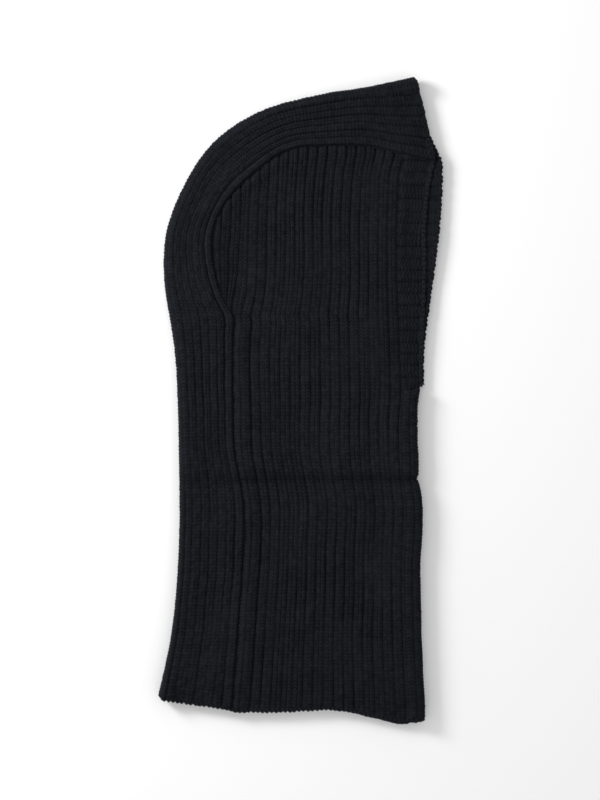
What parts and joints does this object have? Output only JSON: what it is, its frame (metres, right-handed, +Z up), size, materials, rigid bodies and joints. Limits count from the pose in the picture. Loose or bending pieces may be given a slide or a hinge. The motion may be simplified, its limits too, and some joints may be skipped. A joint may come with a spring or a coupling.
{
  "type": "balaclava",
  "caption": "Ribbed knit hood for the whole head and neck with one large face opening, lying folded flat in profile.",
  "frame": {"origin": "centre of the overall box, on the surface the hood lies on", "axes": "+Y from the neck's hem to the crown, +X towards the face opening, +Z up from the wearer's left layer to the right one"},
  "size_m": [0.1988, 0.4521, 0.0118],
  "materials": {
    "rib_knit": "matte chunky rib knit with a light fuzz",
    "linking_yarn": "matte yarn chain"
  },
  "bodies": {
    "hood": {"wrap_panel_head": "rib_knit", "gusset_band_head": "rib_knit", "face_trim_right": "rib_knit", "face_trim_left": "rib_knit", "gusset_seam_right_head": "linking_yarn", "gusset_seam_left_head": "linking_yarn", "trim_seam_right": "linking_yarn", "trim_seam_left": "linking_yarn", "face_edge_chain": "linking_yarn"},
    "neck": {"wrap_panel_neck": "rib_knit", "gusset_band_neck": "rib_knit", "gusset_seam_right_neck": "linking_yarn", "gusset_seam_left_neck": "linking_yarn", "hem_edge_chain": "linking_yarn"}
  },
  "joints": [
    {"name": "neck_fold", "type": "hinge", "parent": "hood", "child": "neck", "pos_m": [0, -0.0553, 0.0133], "axis": [-1, 0, 0], "range_deg": [0, 178]}
  ]
}
